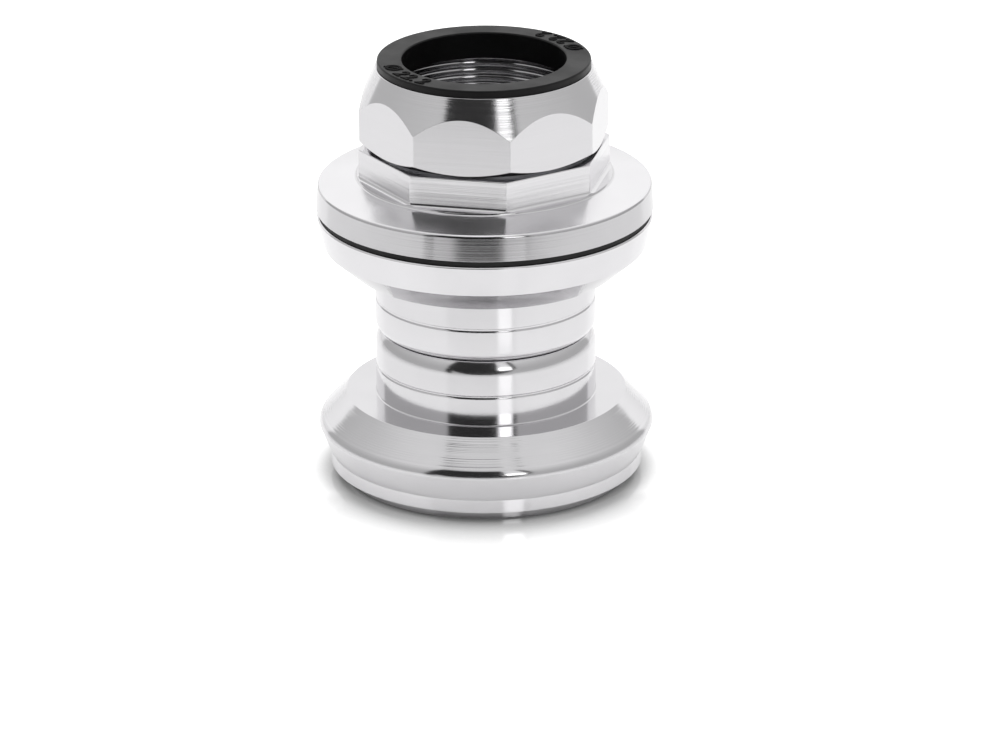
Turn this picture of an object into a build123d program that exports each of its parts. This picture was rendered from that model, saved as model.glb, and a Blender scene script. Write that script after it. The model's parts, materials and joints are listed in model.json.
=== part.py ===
from build123d import *
import os
from math import cos, radians

# One-inch threaded bicycle headset, standing as it is stored: the crown race at the
# bottom, the lower cup over it, the upper cup skirt to skirt on the lower one, and the
# adjusting race, lock washer, locknut and stem seal on top.
# Lengths are in millimetres. The origin is the centre of the crown race's lower face,
# and +Z is the steering axis, pointing up to the locknut.

# Stem and the steerer that it slides into
stem_d = 22.2
steerer_wall = 1.6
stem_clearance = 0.05
steerer_clearance = 0.7

# Cartridge bearings
bearing_section = 5.425
bearing_height = 6.5
bearing_bevel = 1.3
ball_d = 3.175
ball_count = 14
ball_play = 0.05
land_gap = 1.9
open_land_gap = 2.8
cage_height = 4.2
cage_wall = 0.9
cage_play = 0.12
shield_thickness = 0.4
shield_inset = 0.2
shield_running_gap = 0.1
shield_press_gap = 0.01

# Cups
pocket_gap = 0.03
seat_gap = 0.01
bearing_face_gap = 0.3
cup_floor = 1.36
skirt_wall = 1.7
skirt_length = 9.04
lead_in_length = 2.0
lead_in_inset = 0.76
groove_from_shoulder = 4.2
groove_width = 0.45
groove_depth = 0.1
upper_shoulder_width = 3.15
upper_cup_wall = 3.87
upper_wall_taper = 0.9
upper_cone_rise = 3.26
upper_rim_chamfer = 0.25
lower_shoulder_width = 4.1
lower_cup_wall = 3.97
lower_edge_drop = 4.4
lower_roll_inset = 0.5
lower_roll_rise = 1.2
lower_edge_round = 0.3
mouth_step = 1.4
mouth_depth = 1.7
rim_wall = 1.1
rim_height = 1.85
rim_chamfer = 0.2

# Crown race and its seal
crown_bore_step = 0.5
crown_race_wall = 0.375
crown_flange_inset = 0.6
crown_flange_thickness = 1.3
crown_hub_height = 2.2
crown_hub_land = 0.5
crown_edge_chamfer = 0.2
rim_gap = 0.2
lower_seal_base = 0.7
lower_seal_height = 1.5
lower_seal_lip = 0.6
lower_seal_gap = 0.3

# Adjusting race and its seal
race_gap = 0.45
race_seat_margin = 0.1
flange_overhang = 0.1
flange_draft = 0.25
flange_side_height = 3.35
flange_rise = 1.05
flange_edge_round = 0.4
flange_lower_chamfer = 0.2
collar_margin = 0.1
collar_height = 0.25
race_flat_height = 4.2
race_cutter_round = 0.5
race_corner_angle = -80.4
upper_seal_height = 1.05
upper_seal_gap = 0.1
upper_seal_inner_gap = 0.6
upper_seal_inset = 0.35
seal_rib_width = 1.1
seal_rib_height = 0.75
seal_groove_gap = 0.05

# Lock washer
washer_thickness = 1.0
washer_bore_gap = 0.2
washer_edge_inset = 0.8
washer_tab_width = 3.0
washer_tab_length = 1.0

# Locknut and stem seal
nut_sides = 8
nut_wall = 3.3
locknut_gap = 0.45
locknut_height = 10.55
locknut_corner_angle = -78.5
locknut_cone_slope = 0.487
locknut_foot_slope = 0.72
locknut_lip = 1.3
recess_gap = 0.15
recess_headroom = 0.05
counterbore_step = 0.7
counterbore_depth = 2.7
stem_seal_flange_thickness = 1.0
stem_seal_flange_inset = 0.3
stem_seal_gap = 0.1
stem_seal_chamfer = 0.15

# Radii, worked out from the stem outwards
steerer_r = stem_d / 2 + steerer_wall
crown_bore_r = steerer_r + crown_bore_step
bearing_bore_r = crown_bore_r + crown_race_wall
bearing_r = bearing_bore_r + bearing_section
pitch_r = bearing_bore_r + bearing_section / 2
cup_bore_r = steerer_r + steerer_clearance
skirt_r = cup_bore_r + skirt_wall
upper_shoulder_r = skirt_r + upper_shoulder_width
lower_shoulder_r = skirt_r + lower_shoulder_width
pocket_r = bearing_r + pocket_gap
upper_rim_r = pocket_r + upper_cup_wall
upper_wall_foot_r = upper_rim_r - upper_wall_taper
lower_edge_r = pocket_r + lower_cup_wall
mouth_r = bearing_r + mouth_step
rim_r = mouth_r + rim_wall
seat_foot_r = bearing_r - bearing_bevel - bearing_face_gap
crown_flange_r = mouth_r - crown_flange_inset
race_cone_r = bearing_bore_r + bearing_bevel + race_gap - seat_gap
race_cone_tip_r = bearing_bore_r + race_seat_margin - seat_gap
crown_hub_r = race_cone_r + crown_hub_land
flange_r = upper_rim_r + flange_overhang
flat_r = steerer_r + nut_wall
corner_r = flat_r / cos(radians(180 / nut_sides))
collar_r = corner_r + collar_margin
washer_r = flat_r - washer_edge_inset
counterbore_r = steerer_r + counterbore_step
locknut_lip_r = counterbore_r + locknut_lip
stem_bore_r = stem_d / 2 + stem_clearance

# Heights, worked out from the crown upwards
rim_z = crown_flange_thickness + rim_gap
lower_bearing_z = crown_flange_thickness + crown_hub_height
lower_seat_z = lower_bearing_z + bearing_height
lower_roof_z = lower_seat_z + bearing_face_gap
lower_shoulder_z = lower_roof_z + cup_floor
skirt_end_z = lower_shoulder_z + skirt_length
upper_shoulder_z = skirt_end_z + skirt_length
upper_floor_z = upper_shoulder_z + cup_floor
upper_seat_z = upper_floor_z + bearing_face_gap
upper_bearing_top_z = upper_seat_z + bearing_height
race_under_z = upper_bearing_top_z + race_gap
upper_rim_z = race_under_z - upper_seal_height
flange_edge_z = race_under_z + flange_side_height
collar_z = flange_edge_z + flange_rise
ledge_z = collar_z + collar_height
race_top_z = ledge_z + race_flat_height
washer_top_z = race_top_z + washer_thickness
locknut_z = race_top_z + locknut_gap
locknut_top_z = locknut_z + locknut_height
counterbore_z = locknut_top_z - counterbore_depth
stem_seal_top_z = locknut_top_z + stem_seal_flange_thickness


def turn(*outline, mode=Mode.ADD):
    """Revolve a closed outline of (radius, height) points about the steering axis."""
    with BuildSketch(Plane.XZ) as section:
        with BuildLine():
            Polyline(*outline, close=True)
        make_face()
    revolve(section.sketch, axis=Axis.Z, mode=mode)


def octagon(foot_z, height, corner_angle):
    """Extrude the spanner octagon upwards from a height, with a corner at an angle."""
    with BuildSketch(Plane.XY.offset(foot_z)) as flats:
        RegularPolygon(flat_r, nut_sides, major_radius=False, rotation=corner_angle)
    extrude(flats.sketch, amount=height)


def skirt_outline(shoulder_r, shoulder_z, way):
    """Draw a press skirt from its shoulder to its bore, pointing up (1) or down (-1)."""
    end_z = shoulder_z + way * skirt_length
    end_r = skirt_r - lead_in_inset
    lead_in_z = end_z - way * lead_in_length
    groove_z = shoulder_z + way * groove_from_shoulder
    groove_near = (skirt_r, groove_z - way * groove_width / 2)
    groove_far = (skirt_r, groove_z + way * groove_width / 2)
    Polyline((shoulder_r, shoulder_z), (skirt_r, shoulder_z), groove_near)
    ThreePointArc(groove_near, (skirt_r - groove_depth, groove_z), groove_far)
    Line(groove_far, (skirt_r, lead_in_z))
    TangentArc((skirt_r, lead_in_z), (end_r, end_z), tangent=(0, way))
    Line((end_r, end_z), (cup_bore_r, end_z))


os.makedirs("parts", exist_ok=True)

# Crown race: a flange with a bevelled hub that seats in the lower bearing's inner ring
with BuildPart() as crown_race:
    turn(
        (crown_bore_r, 0),
        (crown_flange_r - crown_edge_chamfer, 0),
        (crown_flange_r, crown_edge_chamfer),
        (crown_flange_r, crown_flange_thickness),
        (crown_hub_r, crown_flange_thickness),
        (crown_hub_r, lower_bearing_z - race_gap),
        (race_cone_r, lower_bearing_z - race_gap),
        (race_cone_tip_r, lower_bearing_z + bearing_bevel - race_seat_margin),
        (crown_bore_r, lower_bearing_z + bearing_bevel - race_seat_margin),
    )
crown_race.part.label = "crown_race"
export_step(crown_race.part, "parts/crown_race.step")

# Lower seal: a rubber ring on the crown race, with a lip inside the cup's mouth
with BuildPart() as lower_seal:
    lip_r = mouth_r - lower_seal_gap
    turn(
        (crown_hub_r, crown_flange_thickness),
        (lip_r, crown_flange_thickness),
        (lip_r, crown_flange_thickness + lower_seal_height),
        (lip_r - lower_seal_lip, crown_flange_thickness + lower_seal_height),
        (lip_r - lower_seal_lip, crown_flange_thickness + lower_seal_base),
        (crown_hub_r, crown_flange_thickness + lower_seal_base),
    )
lower_seal.part.label = "lower_seal"
export_step(lower_seal.part, "parts/lower_seal.step")

# Lower cup: an upright press skirt, a cone with a rolled edge, a tapered flank and a rim
with BuildPart() as lower_cup:
    with BuildSketch(Plane.XZ) as lower_section:
        with BuildLine():
            skirt_outline(lower_shoulder_r, lower_shoulder_z, 1)
            rim_top_z = rim_z + rim_height
            lower_edge_z = lower_shoulder_z - lower_edge_drop
            roll_top = (lower_edge_r - lower_roll_inset, lower_edge_z + lower_roll_rise)
            Polyline(
                (cup_bore_r, skirt_end_z),
                (cup_bore_r, lower_roof_z),
                (seat_foot_r, lower_roof_z),
                (pocket_r, lower_roof_z - (pocket_r - seat_foot_r)),
                (pocket_r, rim_z + mouth_depth),
                (mouth_r, rim_z + mouth_depth),
                (mouth_r, rim_z),
                (rim_r - rim_chamfer, rim_z),
                (rim_r, rim_z + rim_chamfer),
                (rim_r, rim_top_z),
                (lower_edge_r, lower_edge_z),
            )
            TangentArc((lower_edge_r, lower_edge_z), roll_top, tangent=(0, 1))
            Line(roll_top, (lower_shoulder_r, lower_shoulder_z))
        make_face()
        fillet(lower_section.vertices().sort_by(Axis.X)[-1], lower_edge_round)
    revolve(axis=Axis.Z)
lower_cup.part.label = "lower_cup"
export_step(lower_cup.part, "parts/lower_cup.step")

# Upper cup: a press skirt that points down and a bowl with a tapered wall
with BuildPart() as upper_cup:
    with BuildSketch(Plane.XZ):
        with BuildLine():
            skirt_outline(upper_shoulder_r, upper_shoulder_z, -1)
            Polyline(
                (cup_bore_r, skirt_end_z),
                (cup_bore_r, upper_floor_z),
                (seat_foot_r, upper_floor_z),
                (pocket_r, upper_floor_z + (pocket_r - seat_foot_r)),
                (pocket_r, upper_rim_z),
                (upper_rim_r - upper_rim_chamfer, upper_rim_z),
                (upper_rim_r, upper_rim_z - upper_rim_chamfer),
                (upper_wall_foot_r, upper_shoulder_z + upper_cone_rise),
                (upper_shoulder_r, upper_shoulder_z),
            )
        make_face()
    revolve(axis=Axis.Z)
upper_cup.part.label = "upper_cup"
export_step(upper_cup.part, "parts/upper_cup.step")

# Upper seal: a rubber ring under the dust flange, held by a rib in a groove
with BuildPart() as upper_seal:
    seal_inner_r = bearing_r + upper_seal_inner_gap
    seal_outer_r = flange_r - upper_seal_inset
    rib_inner_r = (seal_inner_r + seal_outer_r - seal_rib_width) / 2
    rib_outer_r = rib_inner_r + seal_rib_width
    turn(
        (seal_inner_r, upper_rim_z + upper_seal_gap),
        (seal_outer_r, upper_rim_z + upper_seal_gap),
        (seal_outer_r, race_under_z),
        (rib_outer_r, race_under_z),
        (rib_outer_r, race_under_z + seal_rib_height),
        (rib_inner_r, race_under_z + seal_rib_height),
        (rib_inner_r, race_under_z),
        (seal_inner_r, race_under_z),
    )
upper_seal.part.label = "upper_seal"
export_step(upper_seal.part, "parts/upper_seal.step")

# Cutter for one spanner flat: it leaves a level ledge with a rounded inner corner
with BuildPart() as flat_cutter:
    with BuildSketch(Plane.XZ) as cutter_section:
        with Locations((flat_r, ledge_z)):
            Rectangle(collar_r, collar_r, align=(Align.MIN, Align.MIN))
        fillet(cutter_section.vertices().sort_by_distance((flat_r, ledge_z))[0], race_cutter_round)
    extrude(amount=collar_r, both=True)

# Adjusting race: a bevelled boss for the bearing, a dust flange and eight milled flats
with BuildPart() as adjusting_race:
    groove_roof_z = race_under_z + seal_rib_height + seal_groove_gap
    boss_z = upper_bearing_top_z - bearing_bevel + race_seat_margin
    with BuildSketch(Plane.XZ) as race_section:
        with BuildLine():
            Polyline(
                (steerer_r, boss_z),
                (race_cone_tip_r, boss_z),
                (race_cone_r, race_under_z),
                (rib_inner_r - seal_groove_gap, race_under_z),
                (rib_inner_r - seal_groove_gap, groove_roof_z),
                (rib_outer_r + seal_groove_gap, groove_roof_z),
                (rib_outer_r + seal_groove_gap, race_under_z),
                (flange_r - flange_lower_chamfer, race_under_z),
                (flange_r, race_under_z + flange_lower_chamfer),
                (flange_r - flange_draft, flange_edge_z),
                (collar_r, collar_z),
                (collar_r, race_top_z),
                (steerer_r, race_top_z),
                close=True,
            )
        make_face()
        flange_edge = (flange_r - flange_draft, flange_edge_z)
        fillet(race_section.vertices().sort_by_distance(flange_edge)[0], flange_edge_round)
    revolve(axis=Axis.Z)
    with PolarLocations(0, nut_sides, start_angle=race_corner_angle + 180 / nut_sides):
        add(flat_cutter.part, mode=Mode.SUBTRACT)
adjusting_race.part.label = "adjusting_race"
export_step(adjusting_race.part, "parts/adjusting_race.step")

# Lock washer: a flat ring whose tab runs in the steerer's keyway
with BuildPart() as lock_washer:
    washer_bore_r = steerer_r + washer_bore_gap
    with BuildSketch(Plane.XY.offset(race_top_z)):
        Circle(washer_r)
        Circle(washer_bore_r, mode=Mode.SUBTRACT)
        with Locations((0, washer_bore_r - washer_tab_length)):
            Rectangle(
                washer_tab_width,
                washer_tab_length + washer_bore_gap,
                align=(Align.CENTER, Align.MIN),
            )
    extrude(amount=washer_thickness)
lock_washer.part.label = "lock_washer"
export_step(lock_washer.part, "parts/lock_washer.step")

# Locknut: a spanner octagon turned to a cone at the top and bevelled at the foot
with BuildPart() as locknut:
    blank_r = corner_r + collar_margin
    foot_bevel = (blank_r - flat_r) * locknut_foot_slope
    cone_drop = (blank_r - locknut_lip_r) / locknut_cone_slope
    recess_r = washer_r + recess_gap
    recess_z = washer_top_z + recess_headroom
    octagon(locknut_z, locknut_height, locknut_corner_angle)
    turn(
        (recess_r, locknut_z),
        (flat_r, locknut_z),
        (blank_r, locknut_z + foot_bevel),
        (blank_r, locknut_top_z - cone_drop),
        (locknut_lip_r, locknut_top_z),
        (counterbore_r, locknut_top_z),
        (counterbore_r, counterbore_z),
        (steerer_r, counterbore_z),
        (steerer_r, recess_z),
        (recess_r, recess_z),
        mode=Mode.INTERSECT,
    )
locknut.part.label = "locknut"
export_step(locknut.part, "parts/locknut.step")

# Stem seal: a moulded ring with a flange on the locknut and a spigot in its counterbore
with BuildPart() as stem_seal:
    spigot_r = counterbore_r - stem_seal_gap
    seal_flange_r = locknut_lip_r - stem_seal_flange_inset
    turn(
        (stem_bore_r, counterbore_z),
        (spigot_r, counterbore_z),
        (spigot_r, locknut_top_z),
        (seal_flange_r, locknut_top_z),
        (seal_flange_r, stem_seal_top_z - stem_seal_chamfer),
        (seal_flange_r - stem_seal_chamfer, stem_seal_top_z),
        (stem_bore_r + stem_seal_chamfer, stem_seal_top_z),
        (stem_bore_r, stem_seal_top_z - stem_seal_chamfer),
    )
stem_seal.part.label = "stem_seal"
export_step(stem_seal.part, "parts/stem_seal.step")


def build_bearing(place, seat_z, way):
    """Make one angular-contact cartridge bearing, as six pieces.

    The outer ring's bevel seats in the cup at seat_z, and the bearing grows from there
    upwards (way 1) or downwards (way -1) to the inner ring's bevel, which takes the race.
    """
    ball_r = ball_d / 2
    middle_z = seat_z + way * bearing_height / 2
    outer_land_r = pitch_r + land_gap / 2
    outer_open_r = pitch_r + open_land_gap / 2
    inner_land_r = pitch_r - land_gap / 2
    inner_open_r = pitch_r - open_land_gap / 2
    race_z = seat_z + way * bearing_height

    with BuildPart() as outer_ring:
        turn(
            (outer_land_r, seat_z),
            (bearing_r - bearing_bevel, seat_z),
            (bearing_r, seat_z + way * bearing_bevel),
            (bearing_r, race_z),
            (outer_open_r, race_z),
            (outer_open_r, middle_z),
            (outer_land_r, middle_z),
        )
        with Locations((0, 0, middle_z)):
            Torus(pitch_r, ball_r + ball_play, mode=Mode.SUBTRACT)

    with BuildPart() as inner_ring:
        turn(
            (bearing_bore_r, seat_z),
            (inner_open_r, seat_z),
            (inner_open_r, middle_z),
            (inner_land_r, middle_z),
            (inner_land_r, race_z),
            (bearing_bore_r + bearing_bevel, race_z),
            (bearing_bore_r, race_z - way * bearing_bevel),
        )
        with Locations((0, 0, middle_z)):
            Torus(pitch_r, ball_r + ball_play, mode=Mode.SUBTRACT)

    with BuildPart() as balls:
        with Locations((0, 0, middle_z)):
            with PolarLocations(pitch_r, ball_count):
                Sphere(ball_r)

    with BuildPart() as ball_cage:
        turn(
            (pitch_r - cage_wall / 2, middle_z - cage_height / 2),
            (pitch_r + cage_wall / 2, middle_z - cage_height / 2),
            (pitch_r + cage_wall / 2, middle_z + cage_height / 2),
            (pitch_r - cage_wall / 2, middle_z + cage_height / 2),
        )
        with Locations((0, 0, middle_z)):
            with PolarLocations(pitch_r, ball_count):
                Cylinder(ball_r + cage_play, ball_d, rotation=(0, 90, 0), mode=Mode.SUBTRACT)

    shield_near = way * shield_inset
    shield_far = way * (shield_inset + shield_thickness)
    with BuildPart() as cup_side_shield:
        turn(
            (inner_open_r + shield_running_gap, seat_z + shield_near),
            (outer_land_r - shield_press_gap, seat_z + shield_near),
            (outer_land_r - shield_press_gap, seat_z + shield_far),
            (inner_open_r + shield_running_gap, seat_z + shield_far),
        )

    with BuildPart() as race_side_shield:
        turn(
            (inner_land_r + shield_running_gap, race_z - shield_near),
            (outer_open_r - shield_press_gap, race_z - shield_near),
            (outer_open_r - shield_press_gap, race_z - shield_far),
            (inner_land_r + shield_running_gap, race_z - shield_far),
        )

    pieces = {
        "outer_ring": outer_ring,
        "inner_ring": inner_ring,
        "balls": balls,
        "ball_cage": ball_cage,
        "cup_side_shield": cup_side_shield,
        "race_side_shield": race_side_shield,
    }
    for kind, piece in pieces.items():
        name = f"{place}_{kind}"
        piece.part.label = name
        export_step(piece.part, f"parts/{name}.step")


build_bearing("upper", upper_seat_z, 1)
build_bearing("lower", lower_seat_z, -1)
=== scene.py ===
"""Looks of a one-inch threaded bicycle headset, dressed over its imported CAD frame.

Sizes are millimetres in the CAD frame: the crown race stands on z = 0 and +Z is the
steering axis. Blender's own units are metres, so meshes are scaled once, when they are made.
"""

import json
import logging
import math
from dataclasses import dataclass
from enum import Enum
from functools import cache
from typing import Any, ClassVar, Sequence

import bpy
from bpy.types import Material, Node, NodeSocket, NodeTree, Object
from mathutils import Matrix, Vector


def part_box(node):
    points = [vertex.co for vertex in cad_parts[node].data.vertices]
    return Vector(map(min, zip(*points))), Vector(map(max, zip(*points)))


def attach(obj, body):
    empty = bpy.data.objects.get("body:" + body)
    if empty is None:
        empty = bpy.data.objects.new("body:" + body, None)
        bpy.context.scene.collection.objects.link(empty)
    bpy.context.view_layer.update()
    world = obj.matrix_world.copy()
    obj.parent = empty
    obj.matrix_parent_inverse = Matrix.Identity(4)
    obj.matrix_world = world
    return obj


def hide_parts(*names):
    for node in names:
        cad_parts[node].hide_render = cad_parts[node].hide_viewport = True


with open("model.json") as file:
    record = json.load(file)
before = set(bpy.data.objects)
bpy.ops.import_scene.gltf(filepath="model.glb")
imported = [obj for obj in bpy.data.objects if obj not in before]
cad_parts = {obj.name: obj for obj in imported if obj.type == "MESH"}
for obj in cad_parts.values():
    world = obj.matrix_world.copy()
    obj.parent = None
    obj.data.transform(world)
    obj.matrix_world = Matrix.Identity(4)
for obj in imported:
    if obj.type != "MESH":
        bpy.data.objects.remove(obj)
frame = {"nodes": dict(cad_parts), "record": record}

# Heights above the table in degrees, with the light at each.
Levels = tuple[tuple[float, float], ...]

MM = 0.001
# A corner's break takes at most this share of the runs beside it.
BREAK_LIMIT = 0.45
# Breaks smaller than this, in millimetres, are drawn in coarse steps, and larger ones in fine.
SMALL_BREAK = 0.3
COARSE_STEP = math.radians(30)
FINE_STEP = math.radians(7)
# A turn below this, in radians, is no corner.
STRAIGHT = 1e-4
# Radii that corners are broken with, in millimetres.
KEEN = 0.03
CRISP = 0.05
EASED = 0.1
ROUNDED = 0.12
log = logging.getLogger("headset")


class Slot(Enum):
    """Material slots of the record, by the finish that each one takes."""

    ALUMINIUM = "turned_aluminium"
    NYLON = "black_nylon"
    RUBBER = "black_rubber"
    WASHER = "washer_steel"
    BEARING = "bearing_steel"
    BALL = "ball_steel"
    CAGE = "cage_nylon"


class Body(Enum):
    """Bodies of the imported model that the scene's pieces ride on."""

    CUPS = "cups"
    TOP_RACE = "top_race"
    STEM_SEAL = "stem_seal"
    LOCKNUT = "locknut"


def linear(hex_colour: str) -> tuple[float, float, float, float]:
    """Turn an sRGB hex colour into linear light.

    Args:
        hex_colour: Six hex digits with a leading #.

    Returns:
        Linear red, green and blue, and an alpha of 1.
    """
    shares = [int(hex_colour[i : i + 2], 16) / 255 for i in (1, 3, 5)]
    light = [s / 12.92 if s <= 0.04045 else ((s + 0.055) / 1.055) ** 2.4 for s in shares]
    return (light[0], light[1], light[2], 1.0)


def add_node(
    tree: NodeTree, kind: str, inputs: dict[str | int, Any] | None = None, **settings: Any
) -> Node:
    """Add one node to a tree, with its settings, input values and links.

    Args:
        tree: The material's or world's node tree.
        kind: Blender's name for the node type, without the ShaderNode before it.
        inputs: Values, sockets or nodes by the input's name or place; a node gives its
            first output.
        **settings: Properties of the node itself.

    Returns:
        The new node.
    """
    node = tree.nodes.new(f"ShaderNode{kind}")
    for name, value in settings.items():
        setattr(node, name, value)
    for name, value in (inputs or {}).items():
        source = value.outputs[0] if isinstance(value, Node) else value
        if isinstance(source, NodeSocket):
            tree.links.new(source, node.inputs[name])
        else:
            node.inputs[name].default_value = source
    return node


def new_tree(name: str) -> tuple[Material, NodeTree]:
    """Start a material with an empty node tree.

    Args:
        name: The material's name.

    Returns:
        The material and its node tree.
    """
    material = bpy.data.materials.new(name)
    material.use_nodes = True
    material.node_tree.nodes.clear()
    return material, material.node_tree


def surface(
    tree: NodeTree,
    tint: Node,
    colours: tuple[str, str],
    gloss: tuple[Node, float, float],
    roughness: tuple[float, float],
    relief: Node,
    depth_mm: float,
    inputs: dict[str, Any],
) -> None:
    """End a material with two mixed colours, a graded gloss and a fine relief.

    Args:
        tree: The material's node tree.
        tint: Share of the second colour.
        colours: The two colours, as sRGB hex.
        gloss: What the roughness follows, and the span of its values.
        roughness: Roughness at the two ends of that span.
        relief: Height of the relief.
        depth_mm: Depth of the relief.
        inputs: The shader's other inputs.
    """
    first, second = (linear(colour) for colour in colours)
    colour = add_node(tree, "Mix", {0: tint, 6: first, 7: second}, data_type="RGBA")
    rough = add_node(tree, "MapRange", dict(enumerate((*gloss, *roughness))))
    bump = add_node(tree, "Bump", {"Height": relief, "Distance": depth_mm * MM})
    own = {"Base Color": colour.outputs[2], "Roughness": rough, "Normal": bump}
    shader = add_node(tree, "BsdfPrincipled", own | inputs)
    add_node(tree, "OutputMaterial", {"Surface": shader})


@dataclass(frozen=True)
class CutAluminium:
    """Aluminium with the fine lines of a tool that ran round the steering axis.

    Attributes:
        haze: How much the roughness grows where the polish is poor.
        anisotropy: How far the lines draw a reflection out across them.
        line_mm: Spacing of the lines.
    """

    name: str
    bright: str = "#EBEAEC"
    dull: str = "#E1E0E2"
    roughness: float = 0.13
    haze: float = 0.05
    anisotropy: float = 0.5
    line_mm: float = 0.22
    line_depth_mm: float = 0.001

    def cut(
        self, tree: NodeTree, tint: Node, gloss: tuple[Node, float, float], lines: Node
    ) -> None:
        """End the material with its metal.

        Args:
            tree: The material's node tree.
            tint: Share of the duller colour.
            gloss: What the roughness follows, and the span of its values.
            lines: Height of the tool's lines.
        """
        metal = {
            "Metallic": 1.0,
            "Tangent": add_node(tree, "Tangent", direction_type="RADIAL", axis="Z"),
            "Anisotropic": self.anisotropy,
            "Anisotropic Rotation": 0.25,
        }
        rough = (self.roughness - self.haze / 2, self.roughness + self.haze)
        colours = (self.bright, self.dull)
        surface(tree, tint, colours, gloss, rough, lines, self.line_depth_mm, metal)


@dataclass(frozen=True)
class TurnedAluminium(CutAluminium):
    """Aluminium turned on a lathe and polished.

    The tool leaves rings of fine lines round the axis, so a reflection is crisp from side
    to side and drawn out along the profile, with a faint cloudiness from the polishing mop.
    """

    cloud_mm: float = 7.0
    streak_span: tuple[float, float] = (0.1, 0.5)

    def material(self) -> Material:
        """Make the finish's node material.

        Returns:
            The material.
        """
        material, tree = new_tree(self.name)
        place = add_node(tree, "TexCoord").outputs["Object"]
        axes = add_node(tree, "SeparateXYZ", {0: place}).outputs
        across = add_node(tree, "CombineXYZ", {0: axes[0], 1: axes[1]})
        radius = add_node(tree, "VectorMath", {0: across}, operation="LENGTH").outputs["Value"]
        profile = add_node(tree, "CombineXYZ", {0: radius, 1: axes[2]})
        # The feed marks are about 0.1 mm apart, drawn twice as coarse so that they show.
        rings = {"Vector": profile, "Scale": 1 / (self.line_mm * MM), "Detail": 2.0}
        lines = add_node(tree, "TexNoise", rings, noise_dimensions="2D")
        mopped = {"Vector": place, "Scale": 1 / (self.cloud_mm * MM), "Detail": 3.0}
        clouds = add_node(tree, "TexNoise", mopped)
        streaks = add_node(tree, "Math", {0: lines, 1: clouds}, operation="MULTIPLY")
        self.cut(tree, clouds, (streaks, *self.streak_span), lines)
        return material


@dataclass(frozen=True)
class MilledAluminium(CutAluminium):
    """Aluminium flats cut by an end mill that ran level round the nut.

    The cutter leaves long level lines of uneven depth, which break the reflection up into
    bright and grey streaks.
    """

    line_length_mm: float = 30.0
    line_span: tuple[float, float] = (0.3, 0.7)

    def material(self) -> Material:
        """Make the finish's node material.

        Returns:
            The material.
        """
        material, tree = new_tree(self.name)
        place = add_node(tree, "TexCoord").outputs["Object"]
        # The cutter's lines are about 0.1 mm apart, drawn twice as coarse so that they show.
        along, up = 1 / (self.line_length_mm * MM), 1 / (self.line_mm * MM)
        drawn = {0: place, 1: (along, along, up)}
        stretched = add_node(tree, "VectorMath", drawn, operation="MULTIPLY")
        streaks = {"Vector": stretched, "Scale": 1.0, "Detail": 3.0, "Roughness": 0.6}
        lines = add_node(tree, "TexNoise", streaks)
        self.cut(tree, lines, (lines, *self.line_span), lines)
        return material


@dataclass(frozen=True)
class GrainedFinish:
    """A moulded or plated surface with an even, fine grain.

    Moulded nylon and rubber take a dull, slightly mottled skin from the mould; plated and
    ground steel show the same kind of even grain with a metal's reflection.
    """

    name: str
    light: str
    dark: str
    metallic: float
    roughness: float
    grain_mm: float
    grain_depth_mm: float
    mottle_mm: float = 5.0
    mottle_span: tuple[float, float] = (0.3, 0.7)
    unevenness: float = 0.15
    specular: float = 0.5

    def material(self) -> Material:
        """Make the finish's node material.

        Returns:
            The material.
        """
        material, tree = new_tree(self.name)
        place = add_node(tree, "TexCoord").outputs["Object"]
        # A mould's grain is about 0.1 mm, drawn twice as coarse so that it shows.
        grain, mottle = (
            add_node(
                tree, "TexNoise", {"Vector": place, "Scale": 1 / (size_mm * MM), "Detail": detail}
            )
            for size_mm, detail in ((self.grain_mm, 2.0), (self.mottle_mm, 4.0))
        )
        surface(
            tree,
            mottle,
            (self.light, self.dark),
            (mottle, *self.mottle_span),
            (self.roughness * (1 - self.unevenness), self.roughness * (1 + self.unevenness)),
            grain,
            self.grain_depth_mm,
            {"Metallic": self.metallic, "Specular IOR Level": self.specular},
        )
        return material


Finish = TurnedAluminium | MilledAluminium | GrainedFinish

# Mirror polish of the cups and skirts.
POLISHED = TurnedAluminium("polished_turned_aluminium", "#E6E5E7", "#DCDBDD")
# The lower cup's flank and rim: a brighter copy of the polish, painted light that lifts the
# shadowed table they reflect.
RIM_PAINTED_LIGHT = TurnedAluminium("rim_painted_light_aluminium", "#F2F1F3", "#EAE9EB")
# Cones and edges that were only faced off: the rings of the tool stay in view.
FACED = TurnedAluminium(
    "faced_turned_aluminium", roughness=0.1, anisotropy=0.3, line_depth_mm=0.022
)
# The locknut's cone: fine rings that only fray the edges of a reflection.
FINE_FACED = TurnedAluminium(
    "finely_faced_turned_aluminium", "#F0EFF1", "#E7E6E8", 0.15, line_mm=0.2, line_depth_mm=0.016
)
# The upper cup's cone, on its underside: a darker copy of the polish, painted shade for the
# shadowed table that it reflects.
UNDERSIDE_PAINTED_SHADE = TurnedAluminium(
    "underside_painted_shade_aluminium", "#C8C7C9", "#BBBABC", roughness=0.12
)
# The dust flange's edge, brushed round while it spun.
BRUSHED = TurnedAluminium(
    "brushed_turned_aluminium", "#D8D7D9", "#CECDCF", 0.11, anisotropy=0.85, line_depth_mm=0.003
)
# The dust flange's top, left with a satin sheen that blurs the octagon's reflection.
SATIN = TurnedAluminium(
    "satin_turned_aluminium", "#F4F3F5", "#ECEBED", roughness=0.22, line_depth_mm=0.002
)
# The race's flats: the cutter's long lines stay in view.
MILLED = MilledAluminium(
    "milled_aluminium_flats", "#EEEDEF", "#E2E1E3", 0.16, haze=0.08, line_depth_mm=0.014
)
# The locknut's flats, which a fine cutter left almost plain.
FINE_MILLED = MilledAluminium(
    "fine_milled_aluminium_flats",
    "#E7E6E8",
    "#DFDEE0",
    roughness=0.16,
    haze=0.02,
    line_mm=0.2,
    line_depth_mm=0.0002,
)
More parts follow.
